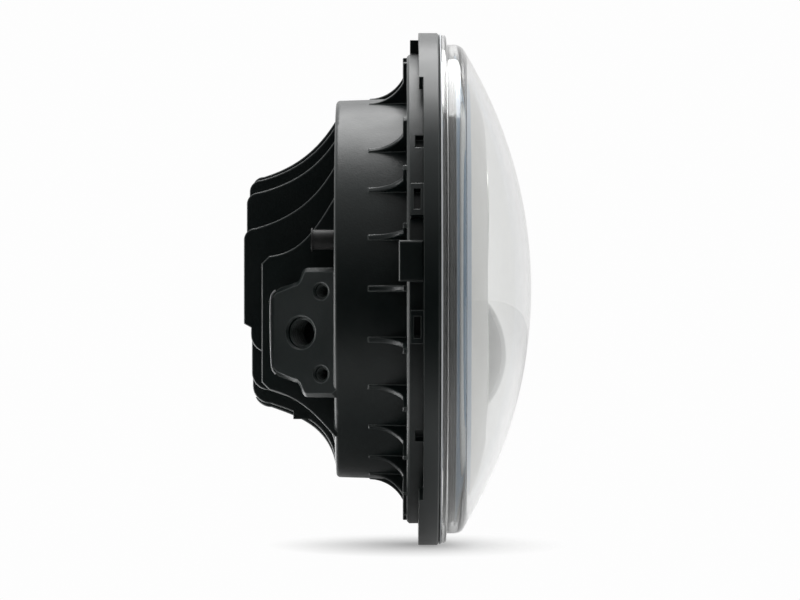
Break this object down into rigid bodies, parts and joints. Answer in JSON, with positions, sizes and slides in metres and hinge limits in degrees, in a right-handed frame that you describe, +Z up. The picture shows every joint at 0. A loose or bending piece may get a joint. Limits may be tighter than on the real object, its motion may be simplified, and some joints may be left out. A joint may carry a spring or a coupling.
{
  "type": "led headlight",
  "caption": "Round LED motorbike headlight: domed clear lens, black rim, drum-shaped cast heat sink with upright cooling fins, gussets and two tilted threaded pads.",
  "frame": {"origin": "on the optical axis, at the middle of the rim band's width", "axes": "+X along the beam, from the fins towards the lens; +Z up; +Y is the lamp's left side"},
  "size_m": [0.0988, 0.178, 0.178],
  "materials": {
    "cast_black": "satin black paint on a die casting",
    "rim_black": "satin black paint",
    "clear_cover": "clear polycarbonate",
    "seal_rubber": "matt",
    "bezel_silver": "metallised satin silver",
    "frame_black": "moulded black",
    "board_white": "white solder mask",
    "board_green": "green solder mask",
    "led_yellow": "phosphor",
    "light_guide": "frosted clear acrylic",
    "optic_clear": "polished",
    "holder_black": "moulded black",
    "reflector_bright": "vacuum metallised",
    "plate_metal": "milled",
    "driver_dark": "moulded cases",
    "gland_black": "nylon",
    "vent_black": "moulded black",
    "screw_steel": "zinc plated"
  },
  "bodies": {
    "root": {"heat_sink_housing": "cast_black", "rim_ring": "rim_black", "lens_cover": "clear_cover", "lens_seal": "seal_rubber", "housing_seal": "seal_rubber", "optic_frame": "frame_black", "light_ring_board": "board_white", "light_ring_leds": "led_yellow", "light_ring": "light_guide", "inner_bezel": "bezel_silver", "carrier_plate": "plate_metal", "led_chips": "led_yellow", "driver_board": "board_green", "driver_parts": "driver_dark", "gland_body": "gland_black", "gland_nut": "gland_black", "gland_grommet": "seal_rubber", "breather_vent": "vent_black", "rim_screws": "screw_steel", "frame_screws": "screw_steel", "plate_screws": "screw_steel", "driver_screws": "screw_steel", "led_screws": "screw_steel", "low_beam_lens_left": "optic_clear", "low_beam_holder_left": "holder_black", "high_beam_reflector_left": "reflector_bright", "low_beam_board_left": "board_white", "high_beam_board_left": "board_white", "low_beam_lens_right": "optic_clear", "low_beam_holder_right": "holder_black", "high_beam_reflector_right": "reflector_bright", "low_beam_board_right": "board_white", "high_beam_board_right": "board_white"}
  },
  "joints": []
}
